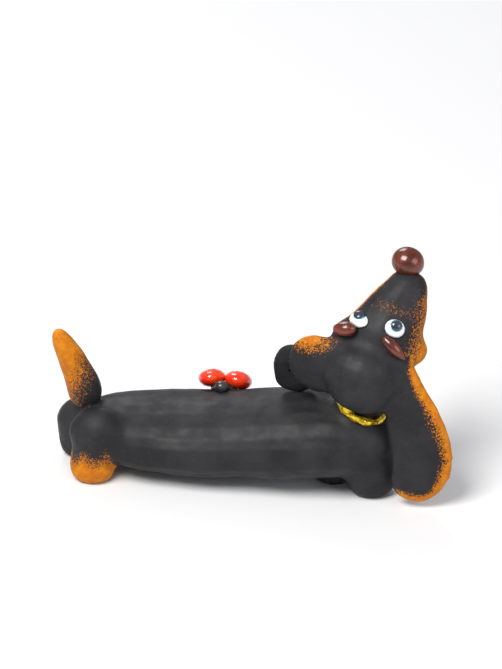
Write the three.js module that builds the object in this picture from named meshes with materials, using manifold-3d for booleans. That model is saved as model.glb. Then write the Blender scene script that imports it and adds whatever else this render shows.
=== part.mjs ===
// A hand-built ceramic dachshund with its head thrown back, a collar round its neck and a ladybird on its
// flank. Every sub-part is a lump of clay rolled, flattened or pinched to shape and pressed onto the lumps
// that were there before it, so each one is cut back from its earlier neighbours by the slip joint.
// Millimetres, +Z up, the dog's body along X with its chest towards +X and its right side towards -Y.
// The origin is on the floor, in the middle of the dog's outline seen from above.

import * as THREE from "three";
import { mergeVertices } from "three/addons/utils/BufferGeometryUtils.js";
import Module from "manifold-3d";

// Body
const TORSO_LENGTH = 165;
const TORSO_WIDTH = 58;
const TORSO_HEIGHT = 37;
const TORSO_BOW = 4; // how far both ends of the body bend to the dog's right
const SHOULDER_RISE = 9.5; // how much higher the body's axis runs at the chest than at the rump
const CHEST_OVERHANG = 9; // how far the chest stands ahead of the shoulders
const BELLY_CLEARANCE = 1.5;

// Legs and tail
const HAUNCH_LENGTH = 30;
const HIND_FOOT_WIDTH = 22.5;
const HIND_FEET_APART = 24;
const FRONT_FOOT_WIDTH = 23;
const LEFT_FRONT_FOOT_WIDTH = 19;
const TAIL_HEIGHT = 42; // from the back to the tip
const TAIL_THICKNESS = 17.5;

// Head and neck
const NECK_THICKNESS = 22;
const NECK_LENGTH = 26; // from the shoulders to the underside of the skull
const SKULL_WIDTH = 41;
const MUZZLE_LENGTH = 56; // from the middle of the skull to the tip under the nose
const MUZZLE_WIDTH = 43;
const NOSE_WIDTH = 16.6;
const EYE_WIDTH = 10.5;
const PUPIL_WIDTH = 6.4;
const CHEEK_WIDTH = 13;
const RIGHT_EAR_LENGTH = 78;
const RIGHT_EAR_WIDTH = 32;
const LEFT_EAR_LENGTH = 28; // from the side of the skull to the fold
const LEFT_EAR_WIDTH = 23;
const EAR_FLAP_LENGTH = 30; // the end of the left ear, folded down behind it
const EAR_FLAP_WIDTH = 21;
const EAR_FLAP_THICKNESS = 6;
const EAR_THICKNESS = 10;
const EAR_CLEARANCE = 5; // from the floor to the lowest ear

// Trimmings
const COLLAR_THICKNESS = 4;
const LADYBIRD_LENGTH = 18;
const LADYBIRD_WIDTH = 27; // over both opened wing cases

// Joints and outline
const SLIP_GAP = 0.3; // left between two lumps that were pressed together
const ROUND = 2; // end form of an egg-shaped lump
const BLUNT = 3.2; // end form of a roll that was cut and tapped flat

const CLAY = { color: 0x302e30, roughness: 0.62, metalness: 0 };
const BROWN = { color: 0x78321e, roughness: 0.2, metalness: 0 };
const GOLD = { color: 0xe6c828, roughness: 0.3, metalness: 0.6 };
const WHITE = { color: 0xf0f5fa, roughness: 0.25, metalness: 0 };
const PUPIL = { color: 0x282d3c, roughness: 0.15, metalness: 0 };
const RED = { color: 0xfa3205, roughness: 0.18, metalness: 0 };
const BLACK = { color: 0x1c1a1c, roughness: 0.4, metalness: 0 };

const wasm = await Module();
wasm.setup();

const at = (x, y, z) => new THREE.Vector3(x, y, z);

// A geometry as a closed solid that can be cut.
function solidOf(geometry) {
  geometry.deleteAttribute("normal");
  geometry.deleteAttribute("uv");
  const merged = mergeVertices(geometry, 1e-4);
  return new wasm.Manifold(
    new wasm.Mesh({
      numProp: 3,
      vertProperties: merged.attributes.position.array,
      triVerts: new Uint32Array(merged.index.array),
    }),
  );
}

// A lump of clay along a path. Each size is [half its width, half its thickness] at equal steps along
// the path, wide names the direction in which the width is measured, and grow swells the lump evenly.
function lump(path, sizes, wide, { end = ROUND, across = 16, along = 12 } = {}) {
  const route = new THREE.CatmullRomCurve3(path);
  const section = new THREE.CatmullRomCurve3(sizes.map(([w, t]) => at(w, t, 0)));
  return (grow) => {
    const geometry = new THREE.SphereGeometry(1, across, along);
    const place = geometry.attributes.position;
    for (let i = 0; i < place.count; i += 1) {
      const ball = at(place.getX(i), place.getY(i), place.getZ(i));
      const step = Math.min(1, Math.max(0, (1 - ball.y) / 2));
      const round = Math.hypot(ball.x, ball.z);
      const full = (1 - Math.abs(ball.y) ** end) ** (1 / end);
      const size = section.getPoint(step);
      const forward = route.getTangent(step);
      const side = wide.clone().addScaledVector(forward, -wide.dot(forward)).normalize();
      const up = forward.clone().cross(side);
      const turn = round > 1e-6 ? [ball.x / round, ball.z / round] : [0, 0];
      const point = route.getPoint(step);
      point.addScaledVector(side, turn[0] * (full * size.x + round * grow));
      point.addScaledVector(up, turn[1] * (full * size.y + round * grow));
      point.addScaledVector(forward, -ball.y * grow);
      place.setXYZ(i, point.x, point.y, point.z);
    }
    return solidOf(geometry);
  };
}

// An egg-shaped lump: its half sizes along three directions that are square to each other.
function egg(middle, halves, [first, second, third], detail) {
  const reach = third.clone().multiplyScalar(halves[2]);
  const path = [middle.clone().sub(reach), middle.clone(), middle.clone().add(reach)];
  const size = [halves[0], halves[1]];
  return lump(path, [size, size, size], first, detail);
}

// ---- Body

const rumpX = -TORSO_LENGTH / 2;
const chestX = TORSO_LENGTH / 2;
const shoulderX = chestX - CHEST_OVERHANG;
const axisZ = BELLY_CLEARANCE + TORSO_HEIGHT / 2;
const X = at(1, 0, 0);
const Y = at(0, 1, 0);
const Z = at(0, 0, 1);

// The middle of the body at a share of its length: bowed sideways, and rising to the shoulders.
function spine(share) {
  const x = rumpX + share * TORSO_LENGTH;
  const y = -TORSO_BOW * (2 * share - 1) ** 2;
  return at(x, y, axisZ + SHOULDER_RISE * THREE.MathUtils.smoothstep(share, 0.3, 0.95));
}

// How full the body is at equal steps from the rump to the chest: [width, height].
const fullness = [
  [0.84, 1],
  [0.93, 1],
  [1, 1],
  [1, 1.03],
  [0.99, 1.12],
  [0.94, 1.18],
  [0.84, 1.08],
];
const torsoSizes = fullness.map(([w, h]) => [(w * TORSO_WIDTH) / 2, (h * TORSO_HEIGHT) / 2]);
const torsoPath = fullness.map((_, i) => spine(i / (fullness.length - 1)));
const torso = lump(torsoPath, torsoSizes, Y, { end: BLUNT, across: 22, along: 22 });

// ---- Haunches, legs and tail

const rumpY = -TORSO_BOW;
const rightHind = { x: rumpX + 13, y: rumpY - HIND_FEET_APART * 0.55, hip: axisZ + 4 };
const leftHind = { x: rumpX + 2, y: rumpY + HIND_FEET_APART * 0.37, hip: axisZ - 4 };

function haunch({ x, y, hip }) {
  return egg(at(x + 2.5, y, hip), [HAUNCH_LENGTH / 2, 12, 15], [X, Y, Z], { along: 12 });
}

function hindLeg({ x, y }) {
  const half = HIND_FOOT_WIDTH / 2;
  const path = [at(x - 1, y, axisZ), at(x - 0.5, y - 0.3, axisZ / 2), at(x, y - 0.5, -1)];
  const sizes = [[half * 1.08, half], [half * 1.02, half * 0.96], [half, half * 0.95]];
  return lump(path, sizes, X, { end: BLUNT });
}

const shoulderZ = axisZ + SHOULDER_RISE;
const rightFoot = { x: shoulderX - 2.8, y: rumpY - 1.5 };
const leftFoot = { x: shoulderX - 24.5, y: rumpY + 4.5 };
const rightShoulder = at(shoulderX - 5.5, rumpY - 4, axisZ + 6);
const leftShoulder = at(shoulderX - 24, rumpY + 7, axisZ);

function frontLeg(foot, top, width) {
  const half = width / 2;
  const path = [top, at((top.x + foot.x) / 2, (top.y + foot.y) / 2, top.z * 0.45), at(foot.x, foot.y, -1)];
  const sizes = [[half * 1.38, half * 1.15], [half * 1.2, half], [half, half * 0.95]];
  return lump(path, sizes, X, { end: BLUNT });
}

const tailRoot = at(rumpX + 8, rumpY + 2, axisZ + TORSO_HEIGHT * 0.36);
const tailTip = at(rumpX - 6.5, rumpY - 8, axisZ + TORSO_HEIGHT / 2 + TAIL_HEIGHT);
const tailBend = tailRoot.clone().lerp(tailTip, 0.45).add(at(1.5, 0, 0));
const tailHalf = TAIL_THICKNESS / 2;
const tailSizes = [1.1, 0.98, 0.82, 0.7, 0.6].map((share) => [share * tailHalf, share * tailHalf]);
const tail = lump([tailRoot, tailBend, tailTip], tailSizes, X, { end: BLUNT, across: 14 });

// ---- Neck and head

const neckFoot = at(shoulderX - 20, rumpY + 3.5, shoulderZ - 2);
const neckLean = at(0.449, -0.128, 0.884).normalize();
const skullHalf = SKULL_WIDTH / 2;
const neckTop = neckFoot.clone().addScaledVector(neckLean, NECK_LENGTH + skullHalf * 0.78);
const neckHalf = NECK_THICKNESS / 2;
const neckSizes = [[neckHalf * 1.3, neckHalf * 1.25], [neckHalf, neckHalf], [neckHalf, neckHalf]];
const neckMiddle = neckFoot.clone().lerp(neckTop, 0.5);
const neck = lump([neckFoot, neckMiddle, neckTop], neckSizes, X, { end: BLUNT });

// The head has its own directions: onward towards the nose, and crown out of the top of the skull. The
// head is thrown back and turned to the dog's left, so that the crown faces the dog's right.
const onward = at(0.267, 0.533, 0.8).normalize();
const crown = at(0.149, -0.844, 0.515);
crown.addScaledVector(onward, -crown.dot(onward)).normalize();
const rightward = onward.clone().cross(crown);
const headWays = [rightward, crown, onward];
const skullSeat = neckFoot.clone().addScaledVector(neckLean, NECK_LENGTH);
const skullMiddle = skullSeat.clone().addScaledVector(neckLean, skullHalf * 0.9).add(at(-7, -3.8, 3.1));

// A point of the head: so far to its right, towards the nose and up out of the crown.
function inHead(right, on, up) {
  const point = skullMiddle.clone().addScaledVector(rightward, right);
  return point.addScaledVector(onward, on).addScaledVector(crown, up);
}

const skull = egg(skullMiddle, [skullHalf, skullHalf * 0.86, skullHalf * 0.92], headWays, {
  across: 18,
});

const muzzleHalf = MUZZLE_WIDTH / 2;
const muzzlePath = [
  inHead(0, MUZZLE_LENGTH * 0.05, -3),
  inHead(2, MUZZLE_LENGTH * 0.34, 0),
  inHead(3.4, MUZZLE_LENGTH * 0.55, 1),
  inHead(4.4, MUZZLE_LENGTH * 0.83, 2),
  inHead(2.8, MUZZLE_LENGTH, 2),
];
const muzzleSizes = [
  [muzzleHalf, muzzleHalf * 0.68],
  [muzzleHalf * 0.98, muzzleHalf * 0.68],
  [muzzleHalf * 0.79, muzzleHalf * 0.6],
  [muzzleHalf * 0.56, muzzleHalf * 0.47],
  [muzzleHalf * 0.45, muzzleHalf * 0.36],
];
const muzzle = lump(muzzlePath, muzzleSizes, rightward, { end: BLUNT, across: 18, along: 16 });

function cheek(right, on) {
  const half = CHEEK_WIDTH / 2;
  const middle = inHead(right, on, -1);
  return egg(middle, [half, half * 1.15, half * 1.25], headWays, { across: 12, along: 8 });
}

const nosePlace = inHead(0.5, MUZZLE_LENGTH + 4, 4);
const noseHalf = NOSE_WIDTH / 2;
const nose = egg(nosePlace, [noseHalf, noseHalf * 0.93, noseHalf * 0.9], headWays, { across: 18 });

// Eyes and pupils lie on the face. Tip turns one to the dog's left or right, and nod towards the nose.
function faceWays({ tip, nod }) {
  const aside = rightward.clone().applyAxisAngle(onward, tip);
  const outward = crown.clone().applyAxisAngle(onward, tip).applyAxisAngle(aside, -nod);
  return [aside, outward.clone().cross(aside), outward];
}

const eyeHalf = EYE_WIDTH / 2;
const pupilHalf = PUPIL_WIDTH / 2;
const browOn = MUZZLE_LENGTH * 0.37;
const eyeOn = browOn + EYE_WIDTH * 0.566;
const rightEye = { middle: inHead(6, eyeOn, 13.6), tip: 0.1, nod: 0.1, open: 0.9 };
const leftEye = { middle: inHead(-12, eyeOn - 2.4, 10.4), tip: -0.45, nod: 0.5, open: 0.72 };

function eyeball(eye) {
  return egg(eye.middle, [eyeHalf, eyeHalf * eye.open, 3.4], faceWays(eye), { across: 14, along: 6 });
}

function pupil(eye) {
  const [aside, on, outward] = faceWays(eye);
  const middle = eye.middle.clone().addScaledVector(outward, 2.5).addScaledVector(on, 1);
  return egg(middle, [pupilHalf, pupilHalf * 0.95, 1.8], [aside, on, outward], { across: 14, along: 6 });
}

// A brow is a small roll, thick at its inner end, with its outer end at a share of that.
function brow(inner, outer, thick, taper) {
  const middle = inner.clone().lerp(outer, 0.5).addScaledVector(crown, 1);
  const sizes = [1, 1, taper].map((share) => [thick * share, thick * share]);
  return lump([inner, middle, outer], sizes, onward, { across: 12, along: 10 });
}

const rightBrow = brow(inHead(1, browOn + 0.5, 13.5), inHead(16.5, browOn - 7, 13), 3.2, 0.5);
const leftBrow = brow(inHead(-11.5, browOn - 1, 12.5), inHead(-22.5, browOn - 5, 7.5), 3.7, 0.9);

// ---- Ears: flat leaves of clay

const earHalf = EAR_THICKNESS / 2;
const rightEarX = skullMiddle.x + skullHalf * 0.805;
const rightEarTip = EAR_CLEARANCE;
const rightEarTop = rightEarTip + RIGHT_EAR_LENGTH;
const rightEarSpan = rightEarTop - rightEarTip;
const rightEarPath = [
  at(rightEarX, rumpY - 5, rightEarTop),
  at(rightEarX + 2.8, rumpY - 8, rightEarTip + rightEarSpan * 0.75),
  at(rightEarX + 11, rumpY - 11, rightEarTip + rightEarSpan * 0.5),
  at(rightEarX + 14.3, rumpY - 13, rightEarTip + rightEarSpan * 0.25),
  at(rightEarX + 7, rumpY - 14, rightEarTip),
];
const rightEarSizes = [
  [0.6, 1.1],
  [0.69, 1.1],
  [0.92, 1],
  [1, 1],
  [0.84, 0.95],
].map(([w, t]) => [(w * RIGHT_EAR_WIDTH) / 2, t * earHalf]);
const rightEar = lump(rightEarPath, rightEarSizes, X, { end: BLUNT, along: 16 });

// The left ear stands out from the skull and is folded over, so that its end hangs behind it as a flap.
const leftEarHalf = LEFT_EAR_WIDTH / 2;
const leftEarRoot = skullMiddle.clone().add(at(-skullHalf * 0.463, 1, 1));
const leftEarFold = leftEarRoot.clone().add(at(-LEFT_EAR_LENGTH, 4, 4));
const leftEarPath = [leftEarRoot, leftEarRoot.clone().lerp(leftEarFold, 0.5), leftEarFold];
const leftEarSizes = [
  [1.4, 1.2],
  [1.3, 1.1],
  [1.08, 0.9],
].map(([w, t]) => [w * leftEarHalf, t * earHalf]);
const leftEarOuter = lump(leftEarPath, leftEarSizes, Z, { end: 2.8 });

const flapHalf = EAR_FLAP_THICKNESS / 2;
const flapRoot = leftEarFold.clone().add(at(1, 3, 2.5));
const flapWay = at(-0.05, 0.3, -0.95).normalize();
const flapTip = flapRoot.clone().addScaledVector(flapWay, EAR_FLAP_LENGTH);
const flapSizes = [0.78, 1, 0.95].map((share) => [(share * EAR_FLAP_WIDTH) / 2, flapHalf]);
const flapPath = [flapRoot, flapRoot.clone().lerp(flapTip, 0.5), flapTip];
const leftEarFlap = lump(flapPath, flapSizes, X, { end: 2.8 });
const leftEar = (grow) => leftEarOuter(grow).add(leftEarFlap(grow));

// ---- Collar: a thin coil laid round the neck where it meets the shoulders

const collarMiddle = skullSeat.clone().addScaledVector(neckLean, -COLLAR_THICKNESS / 2);
const collarRadius = neckHalf + COLLAR_THICKNESS * 0.3;

function collar(grow) {
  const ring = new THREE.TorusGeometry(collarRadius, COLLAR_THICKNESS / 2 + grow, 8, 30);
  ring.applyQuaternion(new THREE.Quaternion().setFromUnitVectors(Z, neckLean));
  ring.translate(collarMiddle.x, collarMiddle.y, collarMiddle.z);
  return solidOf(ring);
}

const tagWay = at(-0.45, -0.9, 0).projectOnPlane(neckLean).normalize();
const tagPlace = collarMiddle.clone().addScaledVector(tagWay, collarRadius + 1).add(at(0, 0, 2.6));
const collarTag = egg(tagPlace, [2.6, 2.2, 2.4], [X, Y, Z], { across: 12, along: 8 });

// ---- Ladybird: it climbs the left flank towards the back, with both wing cases opened

const bankAngle = 0.53; // between the flank's outward direction and straight up, where the ladybird sits
const outOfFlank = at(0, Math.sin(bankAngle), Math.cos(bankAngle));
const upFlank = at(0, -Math.cos(bankAngle), Math.sin(bankAngle));
const ladybirdWays = [X, outOfFlank, upFlank];
const ladybirdX = rumpX + TORSO_LENGTH * 0.44;
const flankY = (TORSO_WIDTH / 2) * 0.65;
const flankZ = axisZ + (TORSO_HEIGHT / 2) * 0.75;

// A point of the ladybird: so far along X, out of the flank and up the flank.
function onFlank(along, out, up) {
  const point = at(ladybirdX + along, flankY, flankZ);
  return point.addScaledVector(outOfFlank, out).addScaledVector(upFlank, up);
}

const beetle = LADYBIRD_LENGTH / 2;
const ladybirdBody = egg(onFlank(0, 2, -3), [beetle * 0.8, 3.6, beetle * 0.95], ladybirdWays, {
  across: 14,
  along: 8,
});
const ladybirdHead = egg(onFlank(0, 2.8, beetle - 1.2), [3.6, 3.3, 3.4], ladybirdWays, {
  across: 12,
  along: 8,
});

function wingCase(side) {
  const spread = LADYBIRD_WIDTH / 4;
  const tilt = [
    X.clone().applyAxisAngle(upFlank, side * -0.15),
    outOfFlank.clone().applyAxisAngle(upFlank, side * -0.15),
    upFlank,
  ];
  const middle = onFlank(side * spread, 6.8, -3);
  return egg(middle, [spread * 1.04, 4.6, beetle], tilt, { across: 14, along: 10 });
}

// ---- Assembly, in the order in which the lumps are pressed on

const lumps = [
  ["torso", torso, CLAY],
  ["haunch_right", haunch(rightHind), CLAY],
  ["haunch_left", haunch(leftHind), CLAY],
  ["hind_leg_right", hindLeg(rightHind), CLAY],
  ["hind_leg_left", hindLeg(leftHind), CLAY],
  ["front_leg_right", frontLeg(rightFoot, rightShoulder, FRONT_FOOT_WIDTH), CLAY],
  ["front_leg_left", frontLeg(leftFoot, leftShoulder, LEFT_FRONT_FOOT_WIDTH), CLAY],
  ["tail", tail, CLAY],
  ["neck", neck, CLAY],
  ["skull", skull, CLAY],
  ["muzzle", muzzle, CLAY],
  ["cheek_right", cheek(20, MUZZLE_LENGTH * 0.35), CLAY],
  ["cheek_left", cheek(-16, MUZZLE_LENGTH * 0.29), CLAY],
  ["ear_right", rightEar, CLAY],
  ["ear_left", leftEar, CLAY],
  ["nose", nose, BROWN],
  ["eye_right", eyeball(rightEye), WHITE],
  ["eye_left", eyeball(leftEye), WHITE],
  ["pupil_right", pupil(rightEye), PUPIL],
  ["pupil_left", pupil(leftEye), PUPIL],
  ["brow_right", rightBrow, BROWN],
  ["brow_left", leftBrow, BROWN],
  ["collar", collar, GOLD],
  ["collar_tag", collarTag, GOLD],
  ["ladybird_body", ladybirdBody, BLACK],
  ["ladybird_head", ladybirdHead, BLACK],
  ["wing_case_right", wingCase(1), RED],
  ["wing_case_left", wingCase(-1), RED],
];

// Everything below the floor, cut away so that the soles are flat.
const under = new THREE.BoxGeometry(400, 400, 40);
under.translate(0, 0, -20);
const floor = solidOf(under);

const dog = new THREE.Group();
const pressed = [];
for (const [name, shape, finish] of lumps) {
  let solid = shape(0).subtract(floor);
  for (const earlier of pressed) solid = solid.subtract(earlier);
  pressed.push(shape(SLIP_GAP));
  const cut = solid.getMesh();
  const geometry = new THREE.BufferGeometry();
  geometry.setAttribute("position", new THREE.BufferAttribute(new Float32Array(cut.vertProperties), 3));
  geometry.setIndex(new THREE.BufferAttribute(new Uint32Array(cut.triVerts), 1));
  geometry.computeBoundingBox();
  const middle = geometry.boundingBox.getCenter(at(0, 0, 0));
  geometry.translate(-middle.x, -middle.y, -middle.z);
  const mesh = new THREE.Mesh(geometry, new THREE.MeshStandardMaterial({ ...finish, flatShading: true }));
  mesh.name = name;
  mesh.position.copy(middle);
  dog.add(mesh);
}

const outline = new THREE.Box3().setFromObject(dog).getCenter(at(0, 0, 0));
dog.position.set(-outline.x, -outline.y, 0);

export default dog;
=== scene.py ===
# A hand-built ceramic dachshund, 20 cm long: charcoal clay with sponged orange markings, painted eyes,
# glazed nose and brows, a gold collar and a red ladybird on its left flank.
# The dog stands along X with its chest towards +X and its right side towards -Y. Metres.

import math

import bmesh
import bpy
import numpy as np
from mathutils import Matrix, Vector, noise
from mathutils.bvhtree import BVHTree


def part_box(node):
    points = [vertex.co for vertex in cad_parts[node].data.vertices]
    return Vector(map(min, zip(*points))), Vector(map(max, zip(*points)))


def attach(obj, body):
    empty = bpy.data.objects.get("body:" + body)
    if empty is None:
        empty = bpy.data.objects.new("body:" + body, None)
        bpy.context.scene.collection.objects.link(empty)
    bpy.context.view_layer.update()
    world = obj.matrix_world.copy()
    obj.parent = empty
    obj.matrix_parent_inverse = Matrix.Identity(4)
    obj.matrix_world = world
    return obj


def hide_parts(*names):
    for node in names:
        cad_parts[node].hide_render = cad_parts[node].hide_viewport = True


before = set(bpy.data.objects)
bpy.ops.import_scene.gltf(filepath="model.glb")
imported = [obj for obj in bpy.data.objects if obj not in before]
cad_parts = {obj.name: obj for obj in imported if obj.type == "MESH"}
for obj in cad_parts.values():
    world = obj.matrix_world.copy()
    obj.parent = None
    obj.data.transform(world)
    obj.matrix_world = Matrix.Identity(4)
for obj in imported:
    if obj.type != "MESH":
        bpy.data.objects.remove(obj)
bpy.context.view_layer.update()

# ---- The modelled clay
# Body, legs, tail, neck, head and ears are soft lumps luted together and worked over with a fingertip:
# most joints are rounded valleys, a few stay open creases, and the surface rolls with pressed hollows.
# The lumps are fused into one skin here, and each is lifted from it further down as a walled piece.

MM = 0.001
CLAY_LUMPS = [
    "torso",
    "haunch_right",
    "haunch_left",
    "hind_leg_right",
    "hind_leg_left",
    "front_leg_right",
    "front_leg_left",
    "tail",
    "neck",
    "skull",
    "muzzle",
    "cheek_right",
    "cheek_left",
    "ear_right",
    "ear_left",
]
# Pairs whose joint was smoothed over with a finger, and how far: 1 is run together.
WORKED_TOGETHER = {
    ("torso", "haunch_right"): 1.0,
    ("torso", "haunch_left"): 1.0,
    ("torso", "hind_leg_right"): 0.35,
    ("torso", "hind_leg_left"): 0.5,
    ("haunch_right", "hind_leg_right"): 1.0,
    ("haunch_left", "hind_leg_left"): 1.0,
    ("torso", "front_leg_right"): 1.0,
    ("torso", "front_leg_left"): 0.5,
    ("torso", "tail"): 0.3,
    ("torso", "neck"): 1.0,
    ("skull", "muzzle"): 1.0,
    ("muzzle", "cheek_right"): 0.9,
    ("muzzle", "cheek_left"): 1.0,
    ("skull", "cheek_right"): 0.7,
    ("skull", "cheek_left"): 1.0,
    ("skull", "ear_right"): 1.0,
    ("muzzle", "ear_right"): 0.4,
    ("torso", "ear_right"): 0.2,
    ("front_leg_right", "ear_right"): 0.2,
    ("skull", "ear_left"): 1.0,
    ("cheek_left", "ear_left"): 0.8,
    ("muzzle", "ear_left"): 0.8,
}
JOINT_FILL = 0.36 * MM  # the slip that fills each joint
SKIN_GRAIN = 0.8 * MM
FINGER_REACH = 5 * MM  # how far on either side of a joint a finger has smoothed


def fused(names, grain, swell=0.0):
    """The named lumps as one closed skin of square faces: its points, faces and edges."""
    joined = bmesh.new()
    for name in names:
        lump = bmesh.new()
        lump.from_mesh(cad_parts[name].data)
        bmesh.ops.remove_doubles(lump, verts=lump.verts, dist=0.001 * MM)
        lump.normal_update()
        for vertex in lump.verts:
            vertex.co += vertex.normal * swell
        swollen = bpy.data.meshes.new(name)
        lump.to_mesh(swollen)
        lump.free()
        joined.from_mesh(swollen)
        bpy.data.meshes.remove(swollen)
    mesh = bpy.data.meshes.new("fused")
    joined.to_mesh(mesh)
    joined.free()
    block = bpy.data.objects.new("fused", mesh)
    bpy.context.scene.collection.objects.link(block)
    remesh = block.modifiers.new("fuse", "REMESH")
    remesh.mode = "VOXEL"
    remesh.voxel_size = grain
    skin = bpy.data.meshes.new_from_object(block.evaluated_get(bpy.context.evaluated_depsgraph_get()))
    points = np.empty(len(skin.vertices) * 3)
    skin.vertices.foreach_get("co", points)
    faces = np.empty(len(skin.loops), np.int64)
    skin.loops.foreach_get("vertex_index", faces)
    edges = np.empty(len(skin.edges) * 2, np.int64)
    skin.edges.foreach_get("vertices", edges)
    bpy.data.objects.remove(block)
    bpy.data.meshes.remove(skin)
    return points.reshape(-1, 3), faces.reshape(-1, 4), edges.reshape(-1, 2)


def evened(values, edges, rounds, share):
    """Each row of values drawn towards the mean of its neighbours, by its share, so many times."""
    size = len(values)
    first, second = edges[:, 0], edges[:, 1]
    neighbours = np.bincount(edges.ravel(), minlength=size)[:, None]
    share = np.broadcast_to(np.reshape(share, (-1, 1)), (size, 1))
    for _ in range(rounds):
        columns = []
        for column in values.T:
            total = np.bincount(first, column[second], size) + np.bincount(second, column[first], size)
            columns.append(total)
        values = values + share * (np.stack(columns, 1) / neighbours - values)
    return values


def outward(points, faces):
    """The skin's outward direction at each point."""
    corners = points[faces]
    face_way = np.cross(corners[:, 2] - corners[:, 0], corners[:, 3] - corners[:, 1])
    columns = []
    for axis in range(3):
        columns.append(np.bincount(faces.ravel(), np.repeat(face_way[:, axis], 4), len(points)))
    ways = np.stack(columns, 1)
    return ways / np.maximum(np.linalg.norm(ways, axis=1, keepdims=True), 1e-12)


def nearness(names, points, reach):
    """How far each point is from each lump, at most reach."""
    table = np.full((len(points), len(names)), reach)
    for column, name in enumerate(names):
        low, high = (np.array(corner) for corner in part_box(name))
        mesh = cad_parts[name].data
        tree = BVHTree.FromPolygons([v.co for v in mesh.vertices], [p.vertices for p in mesh.polygons])
        near = np.all((points > low - reach) & (points < high + reach), axis=1)
        for row in np.flatnonzero(near):
            distance = tree.find_nearest(Vector(points[row]), reach)[3]
            if distance is not None:
                table[row, column] = distance
    return table


def ripple(points, length, seed):
    """Rolling noise from -1 to 1 whose swells are about length wide."""
    shift = Vector((seed * 3.7, seed * 1.9, seed * 5.3))
    return np.array([noise.noise(Vector(point) / length + shift) for point in points])


def between(values, start, end):
    """0 at start and 1 at end, smoothly."""
    share = np.clip((values - start) / (end - start), 0, 1)
    return share * share * (3 - 2 * share)


skin_points, skin_faces, skin_edges = fused(CLAY_LUMPS, SKIN_GRAIN, JOINT_FILL)
reach_table = nearness(CLAY_LUMPS, skin_points, FINGER_REACH * 1.5)
two_nearest = np.sort(np.argsort(reach_table, axis=1)[:, :2], axis=1)
second_reach = np.sort(reach_table, axis=1)[:, 1]
pair_softness = np.zeros((len(CLAY_LUMPS), len(CLAY_LUMPS)))
for (first, second), softness in WORKED_TOGETHER.items():
    pair_softness[CLAY_LUMPS.index(first), CLAY_LUMPS.index(second)] = softness
smoothed = pair_softness[two_nearest[:, 0], two_nearest[:, 1]]
smoothed = smoothed * np.clip(1.4 - second_reach / FINGER_REACH, 0, 1)

# The crease in front of the right hind leg was left open, up to where the haunch swells.
leg_low, leg_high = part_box("hind_leg_right")
open_crease = between(skin_points[:, 0], leg_high[0] - 9 * MM, leg_high[0] - 4 * MM)
open_crease *= between(skin_points[:, 2], 27 * MM, 19 * MM) * (skin_points[:, 1] < leg_low[1] + 12 * MM)
smoothed *= 1 - 0.9 * open_crease

smoothed = evened(smoothed[:, None], skin_edges, 8, 0.6)[:, 0]
for _ in range(8):
    skin_points = evened(skin_points, skin_edges, 1, 0.5)
    skin_points = evened(skin_points, skin_edges, 1, -0.52)
finger_strokes = round(110 * (0.7 * MM / SKIN_GRAIN) ** 2)
skin_points = evened(skin_points, skin_edges, finger_strokes, smoothed * 0.8)
skin_points = evened(skin_points, skin_edges, 4, 0.5)

# Hollows a fingertip wide, the unevenness of a hand-rolled lump, and the drag of a damp finger.
skin_ways = outward(skin_points, skin_faces)
pressed = 0.85 * ripple(skin_points * (1, 1.4, 1.2), 19 * MM, 1)
pressed += 0.24 * ripple(skin_points, 8.5 * MM, 2)
pressed += 0.07 * ripple(skin_points * (0.45, 1, 1), 2.6 * MM, 3)
standing = np.clip(skin_points[:, 2] / (4 * MM), 0, 1)
skin_points = skin_points + skin_ways * (pressed * standing * MM)[:, None]

# One long hollow was stroked along each flank below the back, deepest amidships.
torso_low, torso_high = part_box("torso")
along = (skin_points[:, 0] - torso_low[0]) / (torso_high[0] - torso_low[0])
up = (skin_points[:, 2] - torso_low[2]) / (torso_high[2] - torso_low[2])
stroke = between(along, 0.2, 0.34) * between(along, 0.86, 0.66)
stroke *= np.exp(-(((up - 0.47 - 0.1 * along) / 0.13) ** 2))
stroke *= np.abs(skin_ways[:, 1]) * (0.75 + 0.35 * np.sin(along * 23))
skin_points = skin_points - skin_ways * (0.6 * MM * stroke)[:, None]

# The end of the right ear is left puffy where it was nipped, low down beside the front leg.
ear_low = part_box("ear_right")[0]
puff = np.exp(-(((skin_points[:, 0] - ear_low[0] - 9 * MM) / (7 * MM)) ** 2))
puff *= np.exp(-(((skin_points[:, 2] - ear_low[2] - 11 * MM) / (8 * MM)) ** 2))
puff *= (skin_points[:, 0] > ear_low[0]) & (skin_points[:, 1] < ear_low[1] + 10 * MM) & (skin_ways[:, 1] < 0)
puff *= reach_table[:, CLAY_LUMPS.index("ear_right")] < 2 * MM
puff = evened(puff[:, None], skin_edges, 4, 0.5)[:, 0]
skin_points = skin_points + skin_ways * (1.3 * MM * puff)[:, None]

# The underside of the left ear sags towards the back.
sag = between(-skin_ways[:, 2], 0.1, 0.6) * (reach_table[:, CLAY_LUMPS.index("ear_left")] < 1.5 * MM)
sag = evened(sag[:, None], skin_edges, 4, 0.5)[:, 0]
skin_points = skin_points + skin_ways * (1.4 * MM * sag)[:, None]

skin_points[:, 2] = np.maximum(skin_points[:, 2], 0)
skin_points = evened(skin_points, skin_edges, 2, 0.4)
skin_points[:, 2] = np.maximum(skin_points[:, 2], 0)
skin_ways = outward(skin_points, skin_faces)

# Each face belongs to the lump that it lies nearest to, with the borders evened out.
claim = evened(np.exp(-reach_table / (0.8 * MM)), skin_edges, 6, 0.6)
owner = claim[skin_faces].sum(axis=1).argmax(axis=1)


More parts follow.
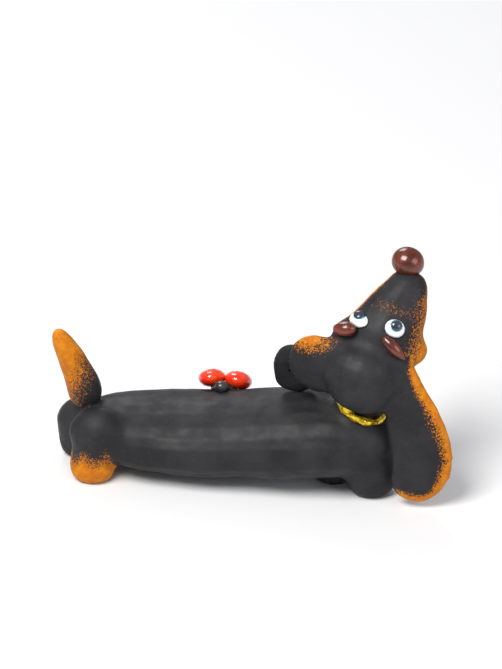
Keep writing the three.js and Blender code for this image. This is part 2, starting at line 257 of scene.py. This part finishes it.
def clay_finish():
    """Charcoal slip brushed on, with orange sponged over it as thickly as the skin's tan value says."""
    paint = bpy.data.materials.new("charcoal_clay")
    paint.use_nodes = True
    nodes, links = paint.node_tree.nodes, paint.node_tree.links
    shader = nodes["Principled BSDF"]
    place = nodes.new("ShaderNodeTexCoord").outputs["Object"]

    def set_or_link(socket, value):
        if isinstance(value, (int, float)):
            socket.default_value = value
        elif isinstance(value, tuple):
            socket.default_value = (*value, 1)
        else:
            links.new(value, socket)

    def grain(scale, detail, roughness=0.5, where=place):
        texture = nodes.new("ShaderNodeTexNoise")
        texture.inputs["Scale"].default_value = scale
        texture.inputs["Detail"].default_value = detail
        texture.inputs["Roughness"].default_value = roughness
        links.new(where, texture.inputs["Vector"])
        return texture.outputs["Fac"]

    def reckon(operation, first, second):
        step = nodes.new("ShaderNodeMath")
        step.operation = operation
        set_or_link(step.inputs[0], first)
        set_or_link(step.inputs[1], second)
        return step.outputs[0]

    def span(value, low, high, out_low=0.0, out_high=1.0):
        ramp = nodes.new("ShaderNodeMapRange")
        ramp.interpolation_type = "SMOOTHSTEP"
        ramp.inputs["From Min"].default_value = low
        ramp.inputs["From Max"].default_value = high
        ramp.inputs["To Min"].default_value = out_low
        ramp.inputs["To Max"].default_value = out_high
        links.new(value, ramp.inputs["Value"])
        return ramp.outputs["Result"]

    def blend(share, first, second):
        mix = nodes.new("ShaderNodeMix")
        mix.data_type = "RGBA"
        links.new(share, mix.inputs["Factor"])
        set_or_link(mix.inputs[6], first)
        set_or_link(mix.inputs[7], second)
        return mix.outputs[2]

    def dab(scale):
        """One random number for each pore of the sponge."""
        pore = nodes.new("ShaderNodeTexVoronoi")
        pore.inputs["Scale"].default_value = scale
        links.new(place, pore.inputs["Vector"])
        number = nodes.new("ShaderNodeSeparateColor")
        links.new(pore.outputs["Color"], number.inputs["Color"])
        return number.outputs["Red"], pore.outputs["Distance"]

    tan = nodes.new("ShaderNodeAttribute")
    tan.attribute_name = "tan"
    fine, fine_edge = dab(2300)
    coarse, _ = dab(1100)
    pores = reckon("ADD", reckon("MULTIPLY", fine, 0.8), reckon("MULTIPLY", coarse, 0.2))
    pores = reckon("ADD", pores, reckon("MULTIPLY", fine_edge, 0.12))
    patch = reckon("MULTIPLY", reckon("SUBTRACT", grain(200, 3), 0.5), 0.55)
    patchy = reckon("ADD", tan.outputs["Fac"], reckon("MULTIPLY", patch, tan.outputs["Fac"]))
    cover = reckon("SUBTRACT", patchy, pores)
    sponge = span(cover, 0.0, 0.07)

    charcoal = blend(span(grain(55, 5, 0.6), 0.35, 0.68), (0.0115, 0.0108, 0.0125), (0.021, 0.020, 0.023))
    charcoal = blend(span(grain(800, 4, 0.7), 0.56, 0.80), charcoal, (0.036, 0.035, 0.039))
    orange = blend(span(grain(240, 4), 0.34, 0.68), (0.47, 0.132, 0.001), (0.60, 0.205, 0.001))
    thin = span(cover, 0.02, 0.4)
    orange = blend(thin, (0.31, 0.085, 0.001), orange)
    links.new(blend(sponge, charcoal, orange), shader.inputs["Base Color"])
    wear = reckon("ADD", span(grain(130, 4), 0.3, 0.75, 0.5, 0.64), reckon("MULTIPLY", sponge, 0.1))
    links.new(wear, shader.inputs["Roughness"])

    stroke = nodes.new("ShaderNodeMapping")
    stroke.inputs["Scale"].default_value = (0.28, 1, 1)
    links.new(place, stroke.inputs["Vector"])
    height = reckon("MULTIPLY", grain(1250, 4, 0.65), 0.38)
    height = reckon("ADD", height, reckon("MULTIPLY", grain(620, 3, 0.6, stroke.outputs["Vector"]), 0.42))
    height = reckon("ADD", height, reckon("MULTIPLY", grain(210, 4), 0.75))
    height = reckon("ADD", height, reckon("MULTIPLY", sponge, 0.3))
    bump = nodes.new("ShaderNodeBump")
    bump.inputs["Distance"].default_value = 0.13 * MM
    bump.inputs["Strength"].default_value = 0.6
    links.new(height, bump.inputs["Height"])
    links.new(bump.outputs["Normal"], shader.inputs["Normal"])
    shader.inputs["Specular IOR Level"].default_value = 0.24
    return paint


charcoal_clay = clay_finish()


def lift(name, tan=None, wall=2.4 * MM):
    """One lump of the skin as a walled piece. tan takes points in mm and says how orange each is."""
    faces = skin_faces[owner == CLAY_LUMPS.index(name)]
    used, local = np.unique(faces, return_inverse=True)
    local = local.reshape(-1, 4)
    count = len(used)
    outside, ways = skin_points[used], skin_ways[used]
    inside = outside - ways * wall
    sides = np.stack([local, np.roll(local, -1, axis=1)], axis=2).reshape(-1, 2)
    side_key = np.sort(sides, axis=1) @ (count, 1)
    _, where, times = np.unique(side_key, return_index=True, return_counts=True)
    rim = sides[where[times == 1]]
    rim_walls = np.stack([rim[:, 1], rim[:, 0], rim[:, 0] + count, rim[:, 1] + count], axis=1)
    mesh = bpy.data.meshes.new(f"{name}_clay")
    quads = np.concatenate([local, local[:, ::-1] + count, rim_walls])
    mesh.from_pydata(np.concatenate([outside, inside]).tolist(), [], quads.tolist())
    mesh.polygons.foreach_set("use_smooth", np.ones(len(mesh.polygons), bool))
    mesh.normals_split_custom_set_from_vertices(np.concatenate([ways, -ways]).tolist())
    marks = np.zeros(count) if tan is None else np.clip(tan(outside / MM, ways), 0, 1.2)
    mesh.attributes.new("tan", "FLOAT", "POINT").data.foreach_set(
        "value", np.concatenate([marks, marks]).astype(np.float32)
    )
    mesh.materials.append(charcoal_clay)
    piece = bpy.data.objects.new(f"{name}_clay", mesh)
    bpy.context.scene.collection.objects.link(piece)
    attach(piece, "root")
    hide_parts(name)
    return piece


# ---- Body and neck
# One fat roll of clay with both ends tapped blunt, bowed a little towards the dog's right, and a short
# stub of neck luted between its shoulders. Both are plain charcoal.

lift("torso")
lift("neck")

# ---- Haunches and legs
# Pressed-on pads over short stumps whose soles were tapped flat on the table. Only the right hind leg
# was sponged orange, solid at the sole and fading up the shin.


def shin_tan(points, ways):
    """Orange up from the sole, thinning out over the shin."""
    ragged = 2.2 * np.sin(points[:, 0] * 0.55) + 1.3 * np.sin(points[:, 1] * 0.9)
    return 1.15 - 1.15 * between(points[:, 2] + ragged, 7, 24) ** 0.75


lift("haunch_right", shin_tan)
lift("hind_leg_right", shin_tan)
lift("haunch_left")
lift("hind_leg_left")
lift("front_leg_right")
lift("front_leg_left")

# ---- Tail
# A tapered finger of clay stood up on the rump. Its tip is solid orange, which thins into specks down
# the outer edge and leaves the root charcoal.


def tail_tan(points, ways):
    """Solid at the tip, thinning towards the root and away from the outer edge."""
    low, high = (np.array(corner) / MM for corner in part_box("tail"))
    down = high[2] - points[:, 2]
    axis = low[0] + 7 + down * 0.33
    return 1.15 - 1.08 * between(down + 1.5 * (points[:, 0] - axis), 11, 46) ** 0.62


lift("tail", tail_tan)

# ---- Skull, muzzle and cheeks
# A ball and a cone run together, thrown back so that the brow looks to the dog's right, with a bump
# pressed on for each cheek. The jaw is orange underneath, and flecks are spattered over the right cheek.

ONWARD = np.array((0.267, 0.533, 0.8))  # from the skull to the nose
CROWN = np.array((0.149, -0.844, 0.515))  # out of the top of the head
RIGHTWARD = np.cross(ONWARD, CROWN)
skull_low, skull_high = (np.array(corner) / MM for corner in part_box("skull"))
HEAD_MIDDLE = (skull_low + skull_high) / 2


def face_tan(points, ways):
    """Solid under the jaw, a thin rim along the left edge, and a spatter over the right of the face."""
    right = (points - HEAD_MIDDLE) @ RIGHTWARD
    on = (points - HEAD_MIDDLE) @ ONWARD
    facing = ways @ CROWN
    jaw = between(facing, 0.12, -0.3) * between(on, 4, 10)
    rim = between(facing, 0.5, 0.12) * between(on, 14, 22)
    cheek = between(right + 0.16 * np.maximum(on - 24, 0), 9, 24) * between(on, 8, 15) * between(on, 56, 42)
    flecks = 0.3 * np.exp(-(((on - 35) / 4.5) ** 2)) * between(right, -14, -4)
    return np.maximum(np.maximum(jaw * 1.15, rim), np.maximum(cheek * 0.9, flecks))


lift("skull")
lift("muzzle", face_tan)
lift("cheek_left", face_tan)


def right_cheek_tan(points, ways):
    """The cheek's own bump is sponged more thickly than the face beside it."""
    right = (points - HEAD_MIDDLE) @ RIGHTWARD
    return np.maximum(face_tan(points, ways), 1.1 * between(right, 18, 23.5))


lift("cheek_right", right_cheek_tan)

# ---- Ears
# Flattened leaves of clay. The right one hangs in front of the chest almost to the floor, sponged orange
# down its front and along its tip. The left one is folded over above the back, orange on the fold.


def right_ear_tan(points, ways):
    """A band round the front edge and the tip, solid at the rim and spattered inside it."""
    low, high = (np.array(corner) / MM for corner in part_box("ear_right"))
    x, z = points[:, 0], points[:, 2]
    heights = np.arange(low[2], high[2] + 2, 2.0)
    front = np.array([x[np.abs(z - height) < 2.5].max(initial=low[0]) for height in heights])
    widths = np.arange(low[0], high[0] + 2, 2.0)
    tip = np.array([z[np.abs(x - width) < 2.5].min(initial=high[2]) for width in widths])
    from_front = np.interp(z, heights, front) - x
    from_tip = z - np.interp(x, widths, tip)
    inward = np.where(z > low[2] + 40, from_front, np.minimum(from_front, from_tip))
    # How far in from the rim the orange stays solid, and where it has faded out, up from the tip.
    up_from_tip = (0, 12, 24, 35, 47, 59, 71, 77, 82)
    solid = np.interp(z - low[2], up_from_tip, (3.5, 4.5, 1.2, 1.6, 2, 4, 2.4, 0.8, 0))
    faded = np.interp(z - low[2], up_from_tip, (8, 10, 9.5, 10.5, 12.5, 9.5, 6.5, 3.5, 1))
    band = 1.15 - 1.15 * between(inward, solid, faded) ** 0.55
    return band * between(z, low[2] + 82, low[2] + 76) * between(x, low[0] + 5, low[0] + 12)


def left_ear_tan(points, ways):
    """Orange over the top of the fold, running out towards the skull."""
    low, high = (np.array(corner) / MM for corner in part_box("ear_left"))
    drop = high[2] - points[:, 2] + 0.12 * np.maximum(low[0] + 14 - points[:, 0], 0)
    out = between(points[:, 0], high[0] - 2, high[0] - 16)
    return (1.15 - 1.15 * between(drop, 1.5, 13) ** 0.7) * (0.3 + 0.7 * out)


lift("ear_right", right_ear_tan)
lift("ear_left", left_ear_tan)

# ---- Nose and brows
# A ball for the nose and two short rolls for the brows, pressed onto the face and painted with a thick
# glossy brown glaze that pools darker in places.


def glaze_finish(name, deep, bright, roughness, coat, metal=0.0, mottle=180.0):
    """A glaze pooled unevenly: two shades of one colour, softly pitted, under a clear coat."""
    paint = bpy.data.materials.new(name)
    paint.use_nodes = True
    nodes, links = paint.node_tree.nodes, paint.node_tree.links
    shader = nodes["Principled BSDF"]
    place = nodes.new("ShaderNodeTexCoord").outputs["Object"]
    cloud = nodes.new("ShaderNodeTexNoise")
    cloud.inputs["Scale"].default_value = mottle
    cloud.inputs["Detail"].default_value = 4
    links.new(place, cloud.inputs["Vector"])
    ramp = nodes.new("ShaderNodeValToRGB")
    ramp.color_ramp.elements[0].position = 0.36
    ramp.color_ramp.elements[0].color = (*deep, 1)
    ramp.color_ramp.elements[1].position = 0.64
    ramp.color_ramp.elements[1].color = (*bright, 1)
    links.new(cloud.outputs["Fac"], ramp.inputs["Fac"])
    links.new(ramp.outputs["Color"], shader.inputs["Base Color"])
    wear = nodes.new("ShaderNodeMapRange")
    wear.inputs["To Min"].default_value = roughness * 0.8
    wear.inputs["To Max"].default_value = roughness * 1.3
    links.new(cloud.outputs["Fac"], wear.inputs["Value"])
    links.new(wear.outputs["Result"], shader.inputs["Roughness"])
    fine = nodes.new("ShaderNodeTexNoise")
    fine.inputs["Scale"].default_value = mottle * 2.5
    fine.inputs["Detail"].default_value = 3
    links.new(place, fine.inputs["Vector"])
    bump = nodes.new("ShaderNodeBump")
    bump.inputs["Distance"].default_value = 0.08 * MM
    bump.inputs["Strength"].default_value = 0.5
    links.new(fine.outputs["Fac"], bump.inputs["Height"])
    links.new(bump.outputs["Normal"], shader.inputs["Normal"])
    shader.inputs["Metallic"].default_value = metal
    shader.inputs["Coat Weight"].default_value = coat
    shader.inputs["Coat Roughness"].default_value = 0.13
    return paint


def pressed_on(name, finish, grain=0.3 * MM, rounds=12, swell=0.1 * MM, unevenness=0.12, lumps=5 * MM):
    """A small lump as it sits on the dog: rounded over, slightly uneven, in its own glaze."""
    points, faces, edges = fused([name], grain, swell)
    points = evened(points, edges, rounds, 0.5)
    ways = outward(points, faces)
    uneven = unevenness * ripple(points, lumps, len(name))
    points = points + ways * (uneven * MM)[:, None]
    mesh = bpy.data.meshes.new(f"{name}_glazed")
    mesh.from_pydata(points.tolist(), [], faces.tolist())
    mesh.polygons.foreach_set("use_smooth", np.ones(len(mesh.polygons), bool))
    mesh.materials.append(finish)
    piece = bpy.data.objects.new(f"{name}_glazed", mesh)
    bpy.context.scene.collection.objects.link(piece)
    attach(piece, "root")
    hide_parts(name)
    return piece


brown_glaze = glaze_finish("brown_glaze", (0.062, 0.008, 0.002), (0.145, 0.021, 0.006), 0.3, 0.35)
for name in ("nose", "brow_right", "brow_left"):
    pressed_on(name, brown_glaze)

# ---- Eyes
# Flattened balls painted white, with a pale blue ring brushed round a drop of blue-black glaze that
# stands proud of each as the pupil.

PUPIL_REACH = 3.1 * MM
BLUE_RING = 0.25 * MM


def eye_finish(side):
    """White glaze with a blue ring round the pupil, brushed a little unevenly."""
    paint = glaze_finish(f"white_glaze_{side}", (0.78, 0.82, 0.85), (0.93, 0.95, 0.96), 0.2, 0.6)
    nodes, links = paint.node_tree.nodes, paint.node_tree.links
    shader = nodes["Principled BSDF"]
    white = shader.inputs["Base Color"].links[0].from_socket
    low, high = (Vector(corner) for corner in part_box(f"pupil_{side}"))
    apart = nodes.new("ShaderNodeVectorMath")
    apart.operation = "DISTANCE"
    apart.inputs[1].default_value = (low + high) / 2
    links.new(nodes["Texture Coordinate"].outputs["Object"], apart.inputs[0])
    waver = nodes.new("ShaderNodeTexNoise")
    waver.inputs["Scale"].default_value = 420
    links.new(nodes["Texture Coordinate"].outputs["Object"], waver.inputs["Vector"])
    ragged = nodes.new("ShaderNodeMath")
    ragged.operation = "MULTIPLY_ADD"
    ragged.inputs[1].default_value = 1.2 * MM
    links.new(waver.outputs["Fac"], ragged.inputs[0])
    links.new(apart.outputs["Value"], ragged.inputs[2])
    ring = nodes.new("ShaderNodeMapRange")
    ring.inputs["From Min"].default_value = PUPIL_REACH + BLUE_RING + 0.4 * MM
    ring.inputs["From Max"].default_value = PUPIL_REACH + BLUE_RING + 0.8 * MM
    links.new(ragged.outputs[0], ring.inputs["Value"])
    mix = nodes.new("ShaderNodeMix")
    mix.data_type = "RGBA"
    mix.inputs[6].default_value = (0.27, 0.62, 0.82, 1)
    links.new(ring.outputs["Result"], mix.inputs["Factor"])
    links.new(white, mix.inputs[7])
    links.new(mix.outputs[2], shader.inputs["Base Color"])
    return paint


dark_glaze = glaze_finish("dark_glaze", (0.012, 0.016, 0.028), (0.035, 0.045, 0.068), 0.16, 0.8)
for side in ("right", "left"):
    pressed_on(f"eye_{side}", eye_finish(side), 0.2 * MM, 10, unevenness=0.05)
    pressed_on(f"pupil_{side}", dark_glaze, 0.15 * MM, 8, unevenness=0.03)

# ---- Collar and tag
# A thin coil of clay laid round the neck, nipped here and there, with a pinched bead for a tag, all
# brushed with gold lustre.

gold_paint = glaze_finish("gold_paint", (0.50, 0.28, 0.004), (1.0, 0.74, 0.03), 0.24, 0.1, 0.7, 420)
pressed_on("collar", gold_paint, 0.3 * MM, 6, 0.25 * MM, 0.75, 3.2 * MM)
pressed_on("collar_tag", gold_paint, 0.2 * MM, 6, 0.3 * MM, 0.5, 2 * MM)

# ---- Ladybird
# A small beetle pressed onto the left flank: black body and head, and two opened red wing cases that
# meet over its back, all thickly glazed.

black_glaze = glaze_finish("black_glaze", (0.014, 0.013, 0.014), (0.045, 0.044, 0.048), 0.34, 0.3)
red_glaze = glaze_finish("red_glaze", (0.80, 0.008, 0.001), (0.92, 0.055, 0.002), 0.16, 0.7)
for name in ("ladybird_body", "ladybird_head"):
    pressed_on(name, black_glaze, 0.25 * MM, 10)
for name in ("wing_case_right", "wing_case_left"):
    pressed_on(name, red_glaze, 0.25 * MM, 12, 0.2 * MM)

# ---- Floor
# A pale matt sheet that the dog stands on, wide enough to fill every view.

FLOOR_REACH = 8.0
floor_mesh = bpy.data.meshes.new("studio_floor")
floor_grid = bmesh.new()
bmesh.ops.create_grid(floor_grid, x_segments=8, y_segments=8, size=FLOOR_REACH)
floor_grid.to_mesh(floor_mesh)
floor_grid.free()
studio_floor = bpy.data.objects.new("studio_floor", floor_mesh)
bpy.context.scene.collection.objects.link(studio_floor)
floor_paint = bpy.data.materials.new("studio_floor")
floor_paint.use_nodes = True
floor_shader = floor_paint.node_tree.nodes["Principled BSDF"]
floor_shader.inputs["Base Color"].default_value = (0.72, 0.72, 0.73, 1)
floor_shader.inputs["Roughness"].default_value = 0.75
floor_mesh.materials.append(floor_paint)

# ---- Lamps
# One broad lamp above the dog's back on the right, a dimmer one ahead of it that rims the nose and the
# ear, a third behind, and an even grey sky.


def soft_lamp(name, place, aimed_at, width, watts, colour):
    """A round studio lamp turned to the dog."""
    light = bpy.data.lights.new(name, "AREA")
    light.shape = "DISK"
    light.size = width
    light.energy = watts
    light.color = colour
    lamp = bpy.data.objects.new(name, light)
    lamp.location = place
    lamp.rotation_mode = "QUATERNION"
    lamp.rotation_quaternion = (Vector(aimed_at) - Vector(place)).to_track_quat("-Z", "Y")
    bpy.context.scene.collection.objects.link(lamp)


soft_lamp("key_lamp", (-0.4, -0.75, 1.3), (0, 0, 0.04), 0.8, 29, (1, 0.985, 0.96))
soft_lamp("side_lamp", (1.2, -0.5, 0.7), (0.02, 0, 0.06), 0.9, 7, (0.93, 0.96, 1))
soft_lamp("back_lamp", (-0.5, 1.1, 0.9), (0, 0, 0.05), 0.6, 7, (1, 1, 1))

sky = bpy.data.worlds.new("studio_sky")
sky.use_nodes = True
sky.node_tree.nodes["Background"].inputs["Color"].default_value = (0.9, 0.92, 0.95, 1)
sky.node_tree.nodes["Background"].inputs["Strength"].default_value = 0.36
bpy.context.scene.world = sky
bpy.context.scene.view_settings.view_transform = "Standard"

# ---- Camera
# A very long lens, 31 degrees above the table, that looks at the dog's right side from slightly ahead.

CAMERA_AZIMUTH = math.radians(10)
CAMERA_ELEVATION = math.radians(31)
CAMERA_LENS = 420
VIEW_HEIGHT = 334.5 * MM  # what the view takes in from top to bottom at the dog's near side
NEAR_SIDE = 36 * MM  # how far the near side stands out from the dog's origin towards the camera
VIEW_MIDDLE = (-2.6 * MM, 68.6 * MM)  # from the dog's origin, across and up in the view

across = Vector((math.cos(CAMERA_AZIMUTH), math.sin(CAMERA_AZIMUTH), 0))
level = math.cos(CAMERA_ELEVATION)
towards = Vector((math.sin(CAMERA_AZIMUTH), -math.cos(CAMERA_AZIMUTH), 0)) * level
towards.z = math.sin(CAMERA_ELEVATION)
lens = bpy.data.cameras.new("camera")
lens.lens = CAMERA_LENS
lens.clip_start = 0.1
lens.clip_end = 50
camera = bpy.data.objects.new("camera", lens)
bpy.context.scene.collection.objects.link(camera)
aim = across * VIEW_MIDDLE[0] + towards.cross(across) * VIEW_MIDDLE[1]
camera.location = aim + towards * (VIEW_HEIGHT * CAMERA_LENS / lens.sensor_width + NEAR_SIDE)
camera.rotation_mode = "QUATERNION"
camera.rotation_quaternion = (-towards).to_track_quat("-Z", "Y")
bpy.context.scene.camera = camera
